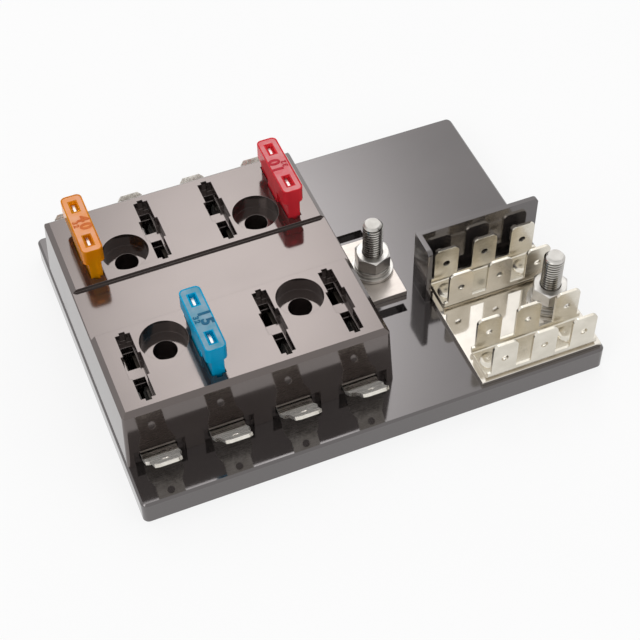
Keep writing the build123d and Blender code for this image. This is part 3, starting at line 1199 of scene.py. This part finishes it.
@dataclass
class BladeFuse:
    """A plug-in fuse: tinted body, frosted top with its rating, and the metal inside."""

    finishes: Finishes
    colour: str
    kind: FuseKind
    rounding: float = 0.12 * MM
    metal_rounding: float = 0.04 * MM
    slot_reach: float = 0.05 * MM
    level_tolerance: float = 0.002 * MM
    rim: float = 0.28 * MM
    sunk: float = 0.12 * MM
    voltage: str = "32"
    spacing: float = 1.3
    font_share: float = 1.4
    text_height: float = 2.75 * MM
    text_shift: float = 0.7 * MM
    small_height: float = 1.25 * MM
    small_shift: float = -1.35 * MM
    text_relief: float = 0.1 * MM
    text_sunk: float = 0.02 * MM
    text_weight: float = 0.055

    def build(self) -> None:
        """Build the body, the frosted top and the rating."""
        node = f"fuse_{self.colour}_body"
        self.build_body(node)
        rounded_copy(f"fuse_{self.colour}_element", self.finishes.fuse_metal, self.metal_rounding)
        self.build_figures(node, "current", self.kind.rating, self.text_height, self.text_shift)
        self.build_figures(node, "voltage", self.voltage, self.small_height, self.small_shift)

    def build_body(self, node: str) -> None:
        """Round the body's edges, sink its top face within a rim and frost it.

        Args:
            node: the CAD node of the body.
        """
        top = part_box(node)[1].z
        work = merged_copy(node)
        edges = [edge for edge in sharp_edges(work, HARD_TURN) if not self.beside_metal(edge)]
        bevel_edges(work, edges, self.rounding, segments=3)
        least = top - self.level_tolerance
        ground = [face for face in work.faces if min(vert.co.z for vert in face.verts) > least]
        bmesh.ops.inset_region(
            work, faces=ground, thickness=self.rim, depth=0.0, use_boundary=True, use_even_offset=True
        )
        corners = list({vert for face in ground for vert in face.verts})
        bmesh.ops.translate(work, verts=corners, vec=(0.0, 0.0, -self.sunk))
        for face in ground:
            face.material_index = 1
        body = finish_mesh(f"{node}_tinted", work, self.finishes.tints[self.colour])
        body.data.materials.append(self.finishes.frosts[self.colour])
        stand_in(body, node)

    def beside_metal(self, edge: Edge) -> bool:
        """Tell whether an edge bounds the slot that the fuse's metal fills.

        Args:
            edge: an edge of the body.

        Returns:
            True where both its ends touch the metal's box.
        """
        low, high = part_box(f"fuse_{self.colour}_element")
        reach = Vector((1.0, 1.0, 1.0)) * self.slot_reach
        low, high = low - reach, high + reach
        return all(low[i] < vert.co[i] < high[i] for vert in edge.verts for i in range(3))

    def build_figures(self, node: str, label: str, figures: str, height: float, shift: float) -> None:
        """Raise one line of figures along the sunk top face.

        Args:
            node: the CAD node of the body.
            label: what the line is, for its name.
            figures: the digits.
            height: their height.
            shift: how far the line stands beside the middle.
        """
        low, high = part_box(node)
        centre = (low + high) / 2
        name = f"fuse_{self.colour}_{label}"
        curve = bpy.data.curves.new(name, "FONT")
        curve.body = figures
        curve.size = height * self.font_share
        curve.extrude = self.text_relief / 2
        curve.offset = height * self.text_weight
        curve.space_character = self.spacing
        curve.align_x = "CENTER"
        curve.align_y = "CENTER"
        text = bpy.data.objects.new(f"{name}_text", curve)
        mesh = bpy.data.meshes.new_from_object(text)
        bpy.data.objects.remove(text)
        side = -1 if self.kind.turned else 1
        level = high.z - self.sunk + self.text_relief / 2 - self.text_sunk
        place = Matrix.Translation((centre.x + side * shift, centre.y, level))
        mesh.transform(place @ Matrix.Rotation(radians(-90.0 * side), 4, "Z"))
        mesh.materials.clear()
        mesh.materials.append(self.finishes.figures[self.colour])
        piece = bpy.data.objects.new(name, mesh)
        bpy.context.scene.collection.objects.link(piece)
        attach(piece, f"fuse_{self.colour}")
        LOG.info("built %s", name)


@dataclass(frozen=True)
class Lamp:
    """A rectangular lamp that faces the block, in metres and watts; a fade of 0 keeps it even."""

    name: str
    place: Place
    width: float
    height: float
    power: float
    fade: float = 0.0

    def build(self) -> None:
        """Hang the lamp."""
        lamp = bpy.data.lights.new(self.name, "AREA")
        lamp.shape = "RECTANGLE"
        lamp.size = self.width
        lamp.size_y = self.height
        lamp.energy = self.power
        holder = bpy.data.objects.new(self.name, lamp)
        holder.location = self.place
        holder.rotation_euler = (-Vector(self.place)).to_track_quat("-Z", "Y").to_euler()
        bpy.context.scene.collection.objects.link(holder)
        if self.fade > 0.0:
            self.fade_edge(lamp)

    def fade_edge(self, lamp: bpy.types.Light) -> None:
        """Let the lamp fade out from its centre, as a diffuser in front of a bulb does.

        Args:
            lamp: the lamp's data.
        """
        lamp.use_nodes = True
        tree = lamp.node_tree
        place = tree.nodes.new("ShaderNodeNewGeometry")
        away = tree.nodes.new("ShaderNodeVectorMath")
        away.operation = "DISTANCE"
        away.inputs[1].default_value = (0.5, 0.5, 0.0)
        tree.links.new(place.outputs["Parametric"], away.inputs[0])
        fade = ranged(tree, away.outputs["Value"], 1.0, 0.0, 0.0, self.fade)
        fade.node.interpolation_type = "SMOOTHERSTEP"
        tree.links.new(fade, tree.nodes["Emission"].inputs["Strength"])


@dataclass
class Studio:
    """Floor, lamps, world and camera. The glossy tops mirror the softbox and the bulb."""

    finishes: Finishes
    eye: Vector = field(default_factory=lambda: Vector((-86.7, -226.9, 290.3)) * MM)
    aim: Vector = field(default_factory=lambda: Vector((-1.5, -9.1, 6.5)) * MM)
    roll: float = radians(-1.08)
    lens: float = 85.25
    sensor: float = 36.0
    nearest: float = 0.01
    floor_half: float = 3.0
    sky: float = 0.8
    lamps: tuple[Lamp, ...] = (
        Lamp("softbox", (0.45, 1.05, 1.25), 1.9, 1.5, 2.5),
        Lamp("bulb", (0.45, 1.6, 2.0), 1.4, 1.8, 24.0, fade=0.42),
        Lamp("fill", (-1.2, -0.7, 0.9), 0.8, 0.8, 5.0),
    )

    def build(self) -> None:
        """Set up the whole studio."""
        self.build_floor()
        for lamp in self.lamps:
            lamp.build()
        self.build_world()
        self.build_camera()
        bpy.context.scene.view_settings.view_transform = "Standard"

    def build_floor(self) -> None:
        """Lay the pale sheet under the block."""
        work = bmesh.new()
        bmesh.ops.create_grid(work, x_segments=1, y_segments=1, size=self.floor_half)
        floor = finish_mesh("floor", work, self.finishes.floor)

    def build_world(self) -> None:
        """Make a world that is white to the camera and in reflections, and softer as a light."""
        world = bpy.data.worlds.new("studio")
        bpy.context.scene.world = world
        world.use_nodes = True
        tree = world.node_tree
        light = tree.nodes["Background"]
        white = tree.nodes.new("ShaderNodeBackground")
        for background, strength in ((light, self.sky), (white, 1.0)):
            background.inputs["Color"].default_value = (1.0, 1.0, 1.0, 1.0)
            background.inputs["Strength"].default_value = strength
        mix = tree.nodes.new("ShaderNodeMixShader")
        tree.links.new(seen_or_mirrored(tree), mix.inputs["Fac"])
        tree.links.new(light.outputs["Background"], mix.inputs[1])
        tree.links.new(white.outputs["Background"], mix.inputs[2])
        tree.links.new(mix.outputs["Shader"], tree.nodes["World Output"].inputs["Surface"])

    def build_camera(self) -> None:
        """Place the camera where the photograph was taken from."""
        forward = (self.aim - self.eye).normalized()
        level = forward.cross(Vector((0.0, 0.0, 1.0))).normalized()
        upright = level.cross(forward)
        right = level * cos(self.roll) + upright * sin(self.roll)
        up = upright * cos(self.roll) - level * sin(self.roll)
        data = bpy.data.cameras.new("camera")
        data.sensor_width = self.sensor
        data.lens = self.lens
        data.clip_start = self.nearest
        holder = bpy.data.objects.new("camera", data)
        turn = Matrix((right, up, -forward)).transposed().to_4x4()
        holder.matrix_world = Matrix.Translation(self.eye) @ turn
        bpy.context.scene.collection.objects.link(holder)
        bpy.context.scene.camera = holder


def main() -> None:
    """Build every sub-assembly."""
    logging.basicConfig(level=logging.INFO, format="%(name)s: %(message)s")
    finishes = Finishes()
    Mouldings(finishes).build()
    Busbar(finishes).build()
    LoadTerminals(finishes).build()
    StudStack(finishes, "main").build()
    StudStack(finishes, "ground").build()
    GroundBus(finishes).build()
    for colour, kind in FUSES.items():
        BladeFuse(finishes, colour, kind).build()
    Studio(finishes).build()


if __name__ == "__main__":
    main()
